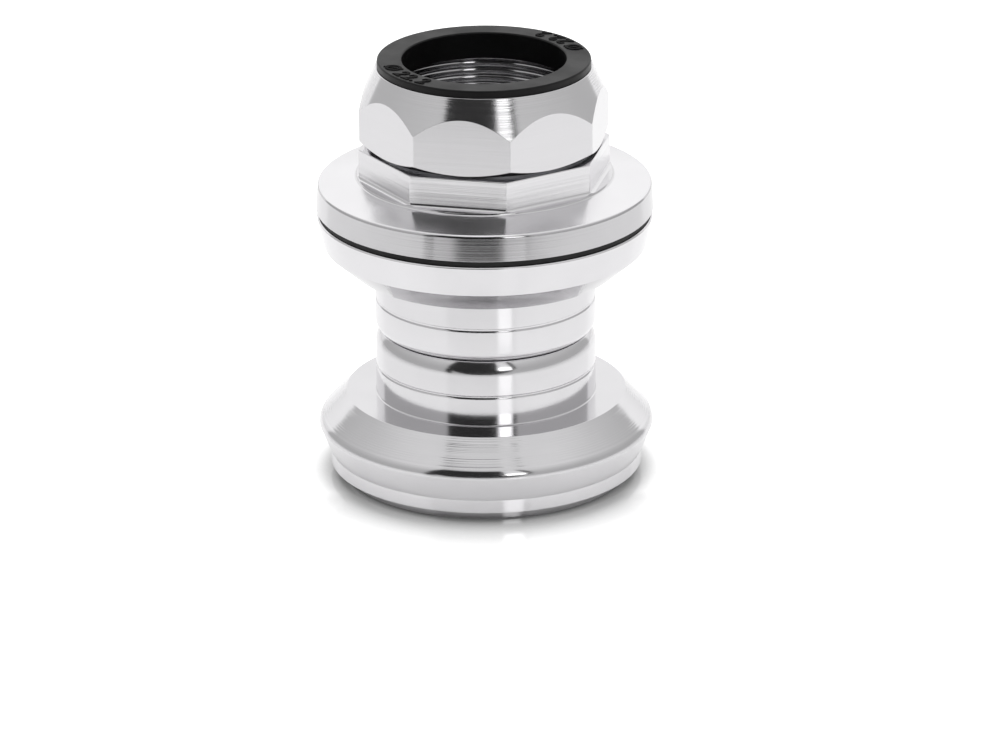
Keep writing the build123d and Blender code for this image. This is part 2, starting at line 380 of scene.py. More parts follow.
# The steerer thread: a darker copy of the aluminium, painted shade for the dim bore; its rounded
# crests catch the light.
CUT_THREAD = TurnedAluminium("cut_aluminium_thread", "#CAC9CB", "#BAB9BB", haze=0.04)
# The black ring: a dull skin that only lightens where it is seen at a slant.
NYLON = GrainedFinish(
    "moulded_black_nylon", "#0D0C0D", "#090809", 0.0, 0.42, 0.22, 0.008, specular=0.25
)
# The ring's figures: a darker, duller copy of the nylon, painted shade so that the raised figures
# read dark on the ring.
FIGURE_PAINTED_SHADE = GrainedFinish(
    "figure_painted_shade_nylon", "#0A090A", "#080708", 0.0, 0.7, 0.18, 0.004, specular=0.1
)
# Seals and shields: black, and duller than the ring.
RUBBER = GrainedFinish(
    "moulded_black_rubber", "#171717", "#111112", 0.0, 0.6, 0.25, 0.006, specular=0.4
)
# The lock washer, grey from its plating.
WASHER_STEEL = GrainedFinish("zinc_plated_steel", "#8C8D90", "#77787B", 1.0, 0.35, 0.2, 0.002)
# Bearing rings, with a ground sheen.
GROUND_STEEL = GrainedFinish("ground_bearing_steel", "#B9BABD", "#A6A7AB", 1.0, 0.25, 0.2, 0.001)
# Balls, as bright as a mirror.
BALL_STEEL = GrainedFinish("polished_ball_steel", "#D4D4D8", "#C9C9CE", 1.0, 0.07, 0.4, 0.0003)
# Ball cages, creamy and dull.
CAGE_NYLON = GrainedFinish("moulded_natural_nylon", "#E0DCCC", "#D3CDB9", 0.0, 0.5, 0.2, 0.004)
SLOT_FINISHES: dict[Slot, Finish] = {
    Slot.ALUMINIUM: POLISHED,
    Slot.NYLON: NYLON,
    Slot.RUBBER: RUBBER,
    Slot.WASHER: WASHER_STEEL,
    Slot.BEARING: GROUND_STEEL,
    Slot.BALL: BALL_STEEL,
    Slot.CAGE: CAGE_NYLON,
}


@cache
def material_of(finish: Finish) -> Material:
    """Give a finish's material, made at the first call."""
    return finish.material()


@dataclass(frozen=True)
class Corner:
    """A corner of a turned section, and the run that leads from it to the next corner.

    Attributes:
        r: Radius from the steering axis.
        z: Height above the crown.
        edge: Radius that the corner is broken with; 0 keeps a smooth joint of a curve.
        finish: Place of the run's finish in the piece's list.
        flat: Whether the run is a spanner flat and not a turned face.
    """

    r: float
    z: float
    edge: float = 0.08
    finish: int = 0
    flat: bool = False


@dataclass(frozen=True)
class Station:
    """A point of a softened section with its outward direction."""

    r: float
    z: float
    out_r: float
    out_z: float
    finish: int
    flat: float


@dataclass(frozen=True)
class Column:
    """One direction round the axis, with how far the spanner flat lies there."""

    angle: float
    reach: float
    face: float


def soften(corners: Sequence[Corner]) -> list[Station]:
    """Break the corners of a closed section, which runs anticlockwise seen with +r to the right.

    Args:
        corners: The section's corners.

    Returns:
        The section's points with their outward directions.
    """
    stations: list[Station] = []
    for place, here in enumerate(corners):
        before, after = corners[place - 1], corners[(place + 1) % len(corners)]
        back = Vector((before.r - here.r, before.z - here.z))
        on = Vector((after.r - here.r, after.z - here.z))
        out_in = Vector((-back.y, back.x)).normalized()
        out_on = Vector((on.y, -on.x)).normalized()
        turn = math.atan2(out_in.x * out_on.y - out_in.y * out_on.x, out_in.dot(out_on))
        if here.edge == 0 or abs(turn) < STRAIGHT:
            mean = (out_in + out_on).normalized()
            flat = float(here.flat)
            stations.append(Station(here.r, here.z, mean.x, mean.y, here.finish, flat))
            continue
        limit = BREAK_LIMIT * min(back.length, on.length)
        setback = min(here.edge * math.tan(abs(turn) / 2), limit)
        bend = math.copysign(setback / math.tan(abs(turn) / 2), turn)
        start = Vector((here.r, here.z)) + back.normalized() * setback
        centre = start - out_in * bend
        step_size = COARSE_STEP if here.edge < SMALL_BREAK else FINE_STEP
        steps = max(2, math.ceil(abs(turn) / step_size))
        for step in range(steps + 1):
            share = step / steps
            angle = math.atan2(out_in.y, out_in.x) + turn * share
            out = Vector((math.cos(angle), math.sin(angle)))
            point = centre + out * bend
            flat = before.flat * (1 - share) + here.flat * share
            finish = here.finish if share >= 0.5 else before.finish
            stations.append(Station(point.x, point.y, out.x, out.y, finish, flat))
    return stations


def roll(start: tuple[float, float], inset: float, rise: float, steps: int) -> list[Corner]:
    """Draw an arc that leaves a point upright and ends further in.

    Args:
        start: Radius and height where the arc leaves the upright run.
        inset: How far its end lies inside the start.
        rise: How far its end lies above the start, or below for less than 0.
        steps: Pieces that the arc is drawn in.

    Returns:
        The arc's corners after its start, up to its end.
    """
    bend = (inset**2 + rise**2) / (2 * inset)
    sweep = math.asin(rise / bend)
    made: list[Corner] = []
    for step in range(1, steps + 1):
        angle = sweep * step / steps
        r = start[0] - bend * (1 - math.cos(angle))
        made.append(Corner(r, start[1] + bend * math.sin(angle), 0.0))
    return made


def round_columns(count: int = 180) -> list[Column]:
    """Space columns evenly round the axis, with no spanner flats."""
    turn = 2 * math.pi / count
    return [Column(i * turn, 0.0, i * turn) for i in range(count)]


@dataclass(frozen=True)
class SpannerOctagon:
    """The eight spanner flats of a nut.

    Attributes:
        corner_deg: Direction of one corner, from +X.
        flat_r: Distance of the flats from the axis.
        sides: Number of flats.
        corner_break_deg: Half the width of the broken corner, as seen from the axis.
        samples: Columns over each flat.
    """

    corner_deg: float
    flat_r: float = 16.0
    sides: int = 8
    corner_break_deg: float = 0.35
    samples: int = 21

    def columns(self) -> list[Column]:
        """Space columns over the flats, with a narrow break at each corner.

        Returns:
            The columns, flat by flat.
        """
        made: list[Column] = []
        pitch = 360 / self.sides
        for side in range(self.sides):
            first = self.corner_deg + side * pitch + self.corner_break_deg
            face = math.radians(self.corner_deg + (side + 0.5) * pitch)
            width = pitch - 2 * self.corner_break_deg
            for sample in range(self.samples):
                angle = math.radians(first + width * sample / (self.samples - 1))
                made.append(Column(angle, self.flat_r / math.cos(angle - face), face))
        return made


def place_mesh(
    name: str,
    points: Sequence[Sequence[float]],
    faces: Sequence[Sequence[int]],
    materials: Sequence[Material],
) -> Object:
    """Make a mesh object and put it in the scene.

    Args:
        name: Name of the object and its mesh.
        points: The mesh's points, in metres.
        faces: The places of each face's points.
        materials: The mesh's materials.

    Returns:
        The new object.
    """
    mesh = bpy.data.meshes.new(name)
    mesh.from_pydata(points, [], faces)
    for material in materials:
        mesh.materials.append(material)
    made = bpy.data.objects.new(name, mesh)
    bpy.context.scene.collection.objects.link(made)
    return made


def settle(piece: Object, body: Body, node: str | None = None) -> None:
    """Let a piece ride its body and stand for a CAD node.

    Args:
        piece: The piece, in place.
        body: The body that it moves with.
        node: The CAD node that it shows in finer detail, if any.
    """
    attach(piece, body.value)
    if node:
        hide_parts(node)
        low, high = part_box(node)
        spots = [(v[i], i) for v in piece.bound_box for i in range(3)]
        past = max(max(at - high[i], low[i] - at) for at, i in spots) / MM
        log.info("%s stands for %s, %.3f mm past its box", piece.name, node, past)
    else:
        log.info("%s rides on %s", piece.name, body.value)


@dataclass
class SteererThread:
    """The one-inch steerer thread, cut into a bore, with broad rounded crests.

    Attributes:
        major_r: Radius of the thread's roots in the nut.
        minor_r: Radius of its crests.
        pitch: Height of one turn: 24 turns to the inch.
        crest_share: Share of the pitch that the rounded crest takes up.
        crest_sag: How far the crest falls away to its edges.
        segments: Steps in each turn.
        samples: Steps from root to root.
        sharp_deg: Turn from which an edge stays sharp.
    """

    major_r: float = 12.74
    minor_r: float = 12.25
    pitch: float = 25.4 / 24
    crest_share: float = 0.8
    crest_sag: float = 0.15
    segments: int = 96
    samples: int = 10
    sharp_deg: float = 50.0

    def radius(self, share: float) -> float:
        """Draw the ridge's section: a rounded crest with a straight flank on each side.

        Args:
            share: Height above the crest's middle, as a share of the pitch.

        Returns:
            The ridge's radius there.
        """
        edge = self.crest_share / 2
        if abs(share) <= edge:
            return self.minor_r + self.crest_sag * (share / edge) ** 2
        flank = self.major_r - self.minor_r - self.crest_sag
        return self.minor_r + self.crest_sag + flank * (abs(share) - edge) / (0.5 - edge)

    def build(self, name: str, low: float, high: float, body: Body) -> None:
        """Wind the thread's ridge between two heights.

        Args:
            name: The piece's name.
            low: Height of the thread's foot.
            high: Height of its top.
            body: The body that carries the bore.
        """
        steps = math.ceil(((high - low) / self.pitch + 1) * self.segments)
        points: list[tuple[float, float, float]] = []
        for step in range(steps + 1):
            angle = 2 * math.pi * step / self.segments
            middle = low + self.pitch * (step / self.segments - 0.5)
            for sample in range(self.samples + 1):
                share = sample / self.samples - 0.5
                r = self.radius(share)
                z = min(max(middle + share * self.pitch, low), high)
                points.append((r * math.cos(angle) * MM, r * math.sin(angle) * MM, z * MM))
        row = self.samples + 1
        faces: list[tuple[int, ...]] = [
            tuple(range(row)), tuple(reversed(range(steps * row, (steps + 1) * row)))
        ]
        for step in range(steps):
            here, there = step * row, (step + 1) * row
            for side in range(row):
                up = (side + 1) % row
                faces.append((here + side, here + up, there + up, there + side))
        piece = place_mesh(name, points, faces, [material_of(CUT_THREAD)])
        piece.data.shade_smooth()
        piece.data.set_sharp_from_angle(angle=math.radians(self.sharp_deg))
        settle(piece, body)


@dataclass
class TurnedPiece:
    """A piece that shows its CAD node in finer detail.

    Attributes:
        corner_deg: Direction of one corner of its spanner flats, if it has any.
        node: The CAD node.
        body: The body that it moves with.
        slot: The record's slot for its finish.
        finishes: Its finishes, in the order that its corners count them.
    """

    corner_deg: float | None = None
    node: ClassVar[str]
    body: ClassVar[Body]
    slot: ClassVar[Slot] = Slot.ALUMINIUM
    finishes: ClassVar[tuple[Finish, ...]]

    def section(self, column: Column) -> list[Corner]:
        """Draw the piece's section in one column.

        Args:
            column: The column, which says how far a spanner flat lies.

        Returns:
            The section's corners.
        """
        raise NotImplementedError

    def mesh(self) -> Object:
        """Carry the section round the axis, with true directions for its shine.

        Returns:
            The mesh object, at rest in the CAD frame.
        """
        columns = round_columns()
        if self.corner_deg is not None:
            columns = SpannerOctagon(self.corner_deg).columns()
        points: list[tuple[float, float, float]] = []
        shine: list[tuple[float, float, float]] = []
        rows: list[Station] = []
        for column in columns:
            rows = soften(self.section(column))
            cos_a, sin_a = math.cos(column.angle), math.sin(column.angle)
            for row in rows:
                lean = column.angle + row.flat * (column.face - column.angle)
                points.append((row.r * cos_a * MM, row.r * sin_a * MM, row.z * MM))
                shine.append((row.out_r * math.cos(lean), row.out_r * math.sin(lean), row.out_z))
        height, width = len(rows), len(columns)
        faces: list[tuple[int, int, int, int]] = []
        for c in range(width):
            here, there = c * height, (c + 1) % width * height
            for r in range(height):
                up = (r + 1) % height
                faces.append((here + r, there + r, there + up, here + up))
        materials = [material_of(finish) for finish in self.finishes]
        piece = place_mesh(f"{self.node}_dressed", points, faces, materials)
        finishes = [row.finish for row in rows] * width
        piece.data.polygons.foreach_set("material_index", finishes)
        piece.data.shade_smooth()
        piece.data.normals_split_custom_set_from_vertices(shine)
        return piece

    def build(self) -> None:
        """Build the piece in place of its CAD node."""
        settle(self.mesh(), self.body, self.node)


@dataclass
class Locknut(TurnedPiece):
    """The locknut: spanner flats, a turned cone above them and a bevel at the foot."""

    node = "locknut"
    body = Body.LOCKNUT
    finishes = (POLISHED, FINE_MILLED, FINE_FACED)
    foot_z: float = 47.65
    top_z: float = 58.2
    recess_r: float = 15.35
    recess_z: float = 48.25
    bevel_r: float = 15.95
    bevel_slope: float = 0.72
    lip_r: float = 14.7
    cone_slope: float = 0.487
    counterbore_r: float = 13.4
    counterbore_z: float = 55.5
    bore_r: float = 12.7
    bore_chamfer: float = 0.35
    corner_deg: float = -78.5

    def section(self, column: Column) -> list[Corner]:
        """Draw the nut's section in one column.

        Args:
            column: The column, which says how far the flat lies.

        Returns:
            The section's corners.
        """
        reach = column.reach
        flat_foot_z = self.foot_z + (reach - self.bevel_r) * self.bevel_slope
        flat_top_z = self.top_z - (reach - self.lip_r) / self.cone_slope
        return [
            Corner(self.recess_r, self.foot_z),
            Corner(self.bevel_r, self.foot_z, CRISP),
            Corner(reach, flat_foot_z, EASED, finish=1, flat=True),
            Corner(reach, flat_top_z, EASED, finish=2),
            Corner(self.lip_r, self.top_z, ROUNDED),
            Corner(self.counterbore_r, self.top_z),
            Corner(self.counterbore_r, self.counterbore_z),
            Corner(self.bore_r + self.bore_chamfer, self.counterbore_z),
            Corner(self.bore_r, self.counterbore_z - self.bore_chamfer),
            Corner(self.bore_r, self.recess_z + self.bore_chamfer),
            Corner(self.bore_r + self.bore_chamfer, self.recess_z),
            Corner(self.recess_r, self.recess_z),
        ]

    def build(self) -> None:
        """Build the nut and its thread."""
        super().build()
        SteererThread().build("locknut_thread", self.recess_z, self.counterbore_z, self.body)


@dataclass
class AdjustingRace(TurnedPiece):
    """The adjusting race: a boss in the bearing, a dust flange and an octagon on a ledge."""

    node = "adjusting_race"
    body = Body.TOP_RACE
    finishes = (POLISHED, BRUSHED, MILLED, SATIN)
    bore_r: float = 12.7
    bore_chamfer: float = 0.3
    boss_z: float = 36.7
    boss_r: float = 13.665
    under_z: float = 38.35
    under_r: float = 15.315
    groove_inner_r: float = 20.525
    groove_outer_r: float = 21.725
    groove_z: float = 39.15
    flange_r: float = 23.0
    lip_r: float = 22.72
    lip_z: float = 38.14
    flange_chamfer: float = 0.06
    flange_top_r: float = 22.75
    flange_z: float = 41.7
    flange_round: float = 0.5
    collar_r: float = 17.42
    collar_z: float = 42.75
    collar_cove: float = 0.25
    ledge_z: float = 43.0
    ledge_min: float = 0.06
    cove: float = 0.5
    cove_steps: int = 6
    top_z: float = 47.2
    corner_deg: float = -80.4

    def foot(self, column: Column) -> list[Corner]:
        """Draw the level ledge and the cutter's cove up to the flat, in one column.

        Args:
            column: The column, which says how far the flat lies.

        Returns:
            The corners from the collar's top to the flat's foot.
        """
        flat_r = column.reach * math.cos(column.angle - column.face)
        stretch = column.reach / flat_r
        end_r = min((flat_r + self.cove) * stretch, self.collar_r - self.ledge_min)
        sweep = math.acos(1 - (end_r / stretch - flat_r) / self.cove)
        made: list[Corner] = []
        for step in range(self.cove_steps + 1):
            angle = sweep * (1 - step / self.cove_steps)
            r = (flat_r + self.cove * (1 - math.cos(angle))) * stretch
            z = self.ledge_z + self.cove * (1 - math.sin(angle))
            made.append(Corner(r, z, 0.0, finish=2, flat=True))
        return [Corner(self.collar_r, made[0].z, CRISP), *made]

    def section(self, column: Column) -> list[Corner]:
        """Draw the race's section in one column.

        Args:
            column: The column, which says how far the flat lies.

        Returns:
            The section's corners.
        """
        slope = (self.collar_z - self.flange_z) / (self.flange_top_r - self.collar_r)
        collar_foot_z = self.collar_z + self.collar_cove * (1 - slope)
        collar_foot = (self.collar_r, collar_foot_z)
        return [
            Corner(self.bore_r + self.bore_chamfer, self.boss_z),
            Corner(self.boss_r, self.boss_z),
            Corner(self.under_r, self.under_z),
            Corner(self.groove_inner_r, self.under_z),
            Corner(self.groove_inner_r, self.groove_z),
            Corner(self.groove_outer_r, self.groove_z),
            Corner(self.groove_outer_r, self.under_z),
            Corner(self.lip_r, self.under_z, KEEN),
            Corner(self.lip_r, self.lip_z, KEEN),
            Corner(self.flange_r - self.flange_chamfer, self.lip_z, KEEN),
            Corner(self.flange_r, self.lip_z + self.flange_chamfer, CRISP, finish=1),
            Corner(self.flange_top_r, self.flange_z, self.flange_round, finish=3),
            *reversed(roll(collar_foot, -self.collar_cove, -self.collar_cove, self.cove_steps)),
            Corner(self.collar_r, collar_foot_z, 0.0),
            *self.foot(column),
            Corner(column.reach, self.top_z, ROUNDED),
            Corner(self.bore_r + self.bore_chamfer, self.top_z),
            Corner(self.bore_r, self.top_z - self.bore_chamfer),
            Corner(self.bore_r, self.boss_z + self.bore_chamfer),
        ]

    def build(self) -> None:
        """Build the race and its thread."""
        super().build()
        SteererThread().build("adjusting_race_thread", self.boss_z, self.top_z, self.body)


@dataclass
class PressSkirt:
    """A cup's press skirt: a groove near the middle and a rounded lead-in at the end."""

    r: float = 15.1
    length: float = 9.04
    groove_at: float = 4.2
    groove_width: float = 0.58
    groove_depth: float = 0.13
    groove_steps: int = 8
    lead_in: float = 2.0
    lead_in_inset: float = 0.76
    nose_edge: float = 0.3
    lead_in_steps: int = 6
    root_edge: float = 0.22

    def corners(self, shoulder_z: float, way: int) -> list[Corner]:
        """Draw the skirt from its shoulder to its end.

        Args:
            shoulder_z: Height of the shoulder.
            way: 1 for a skirt that points up, -1 for one that points down.

        Returns:
            The corners in that order.
        """
        groove_z = shoulder_z + way * self.groove_at
        half = self.groove_width / 2
        bend = (half**2 + self.groove_depth**2) / (2 * self.groove_depth)
        groove: list[Corner] = []
        for step in range(self.groove_steps + 1):
            off = half * (2 * step / self.groove_steps - 1)
            depth = self.groove_depth - bend + math.sqrt(bend**2 - off**2)
            edge = KEEN if abs(off) == half else 0.0
            groove.append(Corner(self.r - depth, groove_z + way * off, edge))
        lead_in_z = shoulder_z + way * (self.length - self.lead_in)
        rise = way * self.lead_in
        lead_in = roll((self.r, lead_in_z), self.lead_in_inset, rise, self.lead_in_steps)
        end = Corner(lead_in[-1].r, lead_in[-1].z, self.nose_edge)
        return [
            Corner(self.r, shoulder_z, self.root_edge),
            *groove,
            Corner(self.r, lead_in_z, 0.0),
            *lead_in[:-1],
            end,
        ]


@dataclass
class UpperCup(TurnedPiece):
    """The upper cup: a skirt that points down, a cone and a bright tapered wall."""

    node = "upper_cup"
    body = Body.CUPS
    finishes = (POLISHED, UNDERSIDE_PAINTED_SHADE)
    bore_r: float = 13.4
    end_z: float = 20.7
    shoulder_r: float = 18.25
    shoulder_z: float = 29.74
    wall_foot_r: float = 22.0
    wall_foot_z: float = 33.0
    rim_r: float = 22.9
    rim_z: float = 37.3
    rim_chamfer: float = 0.18
    pocket_r: float = 19.03
    seat_r: float = 17.4
    floor_z: float = 31.1

    def section(self, column: Column) -> list[Corner]:
        """Draw the cup's section, which is the same all round.

        Args:
            column: Any column.

        Returns:
            The section's corners.
        """
        # The nose runs on into a full round, which leaves a dark crevice above the other skirt.
        skirt = PressSkirt(groove_at=4.34, lead_in=1.45, lead_in_inset=1.4, nose_edge=CRISP)
        return [
            Corner(self.bore_r, self.end_z),
            *reversed(skirt.corners(self.shoulder_z, -1)),
            # The cone takes the darker copy of the polish: painted shade.
            Corner(self.shoulder_r, self.shoulder_z, finish=1),
            Corner(self.wall_foot_r, self.wall_foot_z, EASED),
            Corner(self.rim_r, self.rim_z - self.rim_chamfer, ROUNDED),
            Corner(self.rim_r - self.rim_chamfer, self.rim_z, ROUNDED),
            Corner(self.pocket_r, self.rim_z),
            Corner(self.pocket_r, self.floor_z + self.pocket_r - self.seat_r),
            Corner(self.seat_r, self.floor_z),
            Corner(self.bore_r, self.floor_z),
        ]


@dataclass
class LowerCup(TurnedPiece):
    """The lower cup: an upright skirt, a faced cone, a tapered flank and a narrow rim."""

    node = "lower_cup"
    body = Body.CUPS
    finishes = (POLISHED, FACED, RIM_PAINTED_LIGHT)
    bore_r: float = 13.4
    end_z: float = 20.7
    shoulder_r: float = 19.2
    shoulder_z: float = 11.66
    edge_r: float = 23.0
    edge_z: float = 7.0
    edge_round: float = 0.3
    roll_inset: float = 0.5
    roll_rise: float = 1.2
    roll_steps: int = 8
    rim_r: float = 21.5
    rim_top_z: float = 3.35
    rim_z: float = 1.5
    rim_chamfer: float = 0.06
    rim_edge: float = 0.04
    mouth_r: float = 20.4
    mouth_z: float = 3.2
    pocket_r: float = 19.03
    seat_r: float = 17.4
    roof_z: float = 10.3

    def section(self, column: Column) -> list[Corner]:
        """Draw the cup's section, which is the same all round.

        Args:
            column: Any column.

        Returns:
            The section's corners.
        """
        edge = (self.edge_r, self.edge_z)
        return [
            Corner(self.mouth_r, self.rim_z),
            Corner(self.rim_r - self.rim_chamfer, self.rim_z),
            # The rim and flank take the brighter copy of the polish: painted light.
            Corner(self.rim_r, self.rim_z + self.rim_chamfer, self.rim_edge, finish=2),
            Corner(self.rim_r, self.rim_top_z, KEEN, finish=2),
            Corner(self.edge_r, self.edge_z, self.edge_round),
            *roll(edge, self.roll_inset, self.roll_rise, self.roll_steps)[:-1],
            Corner(self.edge_r - self.roll_inset, self.edge_z + self.roll_rise, 0.0, finish=1),
            Corner(self.shoulder_r, self.shoulder_z, EASED),
            *PressSkirt(groove_at=4.1).corners(self.shoulder_z, 1),
            Corner(self.bore_r, self.end_z),
            Corner(self.bore_r, self.roof_z),
            Corner(self.seat_r, self.roof_z),
            Corner(self.pocket_r, self.roof_z - self.pocket_r + self.seat_r),
            Corner(self.pocket_r, self.mouth_z),
            Corner(self.mouth_r, self.mouth_z),
        ]


@dataclass
class StemSeal(TurnedPiece):
    """The black ring in the locknut's mouth, with its bore size moulded on top."""

    node = "stem_seal"
    body = Body.STEM_SEAL
    slot = Slot.NYLON
    finishes = (NYLON,)
    bore_r: float = 11.15
    spigot_r: float = 13.3
    flange_r: float = 14.5
    foot_z: float = 55.5
    seat_z: float = 58.2
    top_z: float = 59.2
    chamfer: float = 0.15
    edge_round: float = 0.15
    mark: tuple[tuple[str, float], ...] = (
        ("\u00d8", -16.5), ("2", -3.5), ("2", 4.5), (".", 9.5), ("2", 16.0)
    )
    mark_foot_r: float = 13.9
    mark_height: float = 2.2
    mark_rise: float = 0.14
    mark_bold: float = 0.035
    mark_slant: float = 0.15
    mark_bevel: float = 0.03
    mark_steps: int = 4
    font_share: float = 1.35
    mark_places_deg: tuple[float, ...] = (-145.0, 35.0)

    def section(self, column: Column) -> list[Corner]:
        """Draw the ring's section, which is the same all round.

        Args:
            column: Any column.

        Returns:
            The section's corners.
        """
        return [
            Corner(self.bore_r, self.foot_z),
            Corner(self.spigot_r, self.foot_z),
            Corner(self.spigot_r, self.seat_z),
            Corner(self.flange_r, self.seat_z),
            Corner(self.flange_r, self.top_z - self.chamfer, self.edge_round),
            Corner(self.flange_r - self.chamfer, self.top_z, self.edge_round),
            Corner(self.bore_r + self.chamfer, self.top_z, self.edge_round),
            Corner(self.bore_r, self.top_z - self.chamfer, self.edge_round),
        ]

    def size_mark(self, name: str, middle_deg: float) -> Object:
        """Mould the bore's size in raised figures along the ring.

        Args:
            name: The piece's name.
            middle_deg: Direction of the mark's middle, from +X.

        Returns:
            The raised figures, as one mesh.
        """
        points: list[Vector] = []
        faces: list[tuple[int, ...]] = []
        for figure, off_deg in self.mark:
            curve = bpy.data.curves.new(name, "FONT")
            curve.body = figure
            curve.size = self.mark_height * MM * self.font_share
            curve.extrude = self.mark_rise * MM / 2
            curve.bevel_depth = self.mark_bevel * MM
            curve.offset = self.mark_bold * MM
            curve.shear = self.mark_slant
            curve.align_x = "CENTER"
            curve.resolution_u = self.mark_steps
            flat = bpy.data.objects.new(name, curve)
            bpy.context.scene.collection.objects.link(flat)
            bpy.context.view_layer.update()
            solid = flat.to_mesh()
            angle = math.radians(middle_deg + off_deg)
            spot = Matrix.Rotation(angle + math.pi / 2, 4, "Z")
            foot = (math.cos(angle) * self.mark_foot_r, math.sin(angle) * self.mark_foot_r)
            spot.translation = Vector((*foot, self.top_z)) * MM
            first = len(points)
            points += [spot @ vertex.co for vertex in solid.vertices]
            faces += [tuple(first + v for v in face.vertices) for face in solid.polygons]
            flat.to_mesh_clear()
            bpy.data.objects.remove(flat)
            bpy.data.curves.remove(curve)
        # The figures take the darker copy of the nylon: painted shade.
        return place_mesh(name, points, faces, [material_of(FIGURE_PAINTED_SHADE)])

    def build(self) -> None:
        """Build the ring and its marks."""
        super().build()
        for place, middle in enumerate(self.mark_places_deg):
            mark = self.size_mark(f"stem_seal_size_mark_{place + 1}", middle)
            settle(mark, self.body)


class InnerParts:
    """The CAD solids: bearings, rubber seals, crown race and lock washer stay in view."""

    def dress(self) -> None:
        """Give each solid the finish of its slot in the record."""
        for part in frame["record"]["subparts"]:
            material = material_of(SLOT_FINISHES[Slot(part["material_slot"])])
            solid = frame["nodes"][part["node"]]
            solid.data.materials.clear()
            solid.data.materials.append(material)
            log.info("%s takes %s", part["node"], material.name)


@dataclass(frozen=True)
class Band:
    """A band of directions with soft edges, in degrees.

    Attributes:
        middle: Middle of the band.
        half: Half its width.
        soft: Half the width of its soft edges.
    """

    middle: float
    half: float
    soft: float

    def mark(self, tree: NodeTree, angle: Node | NodeSocket) -> Node:
        """Mark the directions that lie in the band.

        Args:
            tree: The world's node tree.
            angle: The direction's angle, in radians.

        Returns:
            A node that gives 1 inside the band and 0 outside it.
        """
        edges = (self.middle, self.half - self.soft, self.half + self.soft)
        middle, low, high = (math.radians(edge) for edge in edges)
        off = add_node(tree, "Math", {0: angle, 1: middle}, operation="SUBTRACT")
        away = add_node(tree, "Math", {0: off}, operation="ABSOLUTE")
        fade = dict(enumerate((away, low, high, 1.0, 0.0)))
        return add_node(tree, "MapRange", fade, interpolation_type="SMOOTHSTEP")


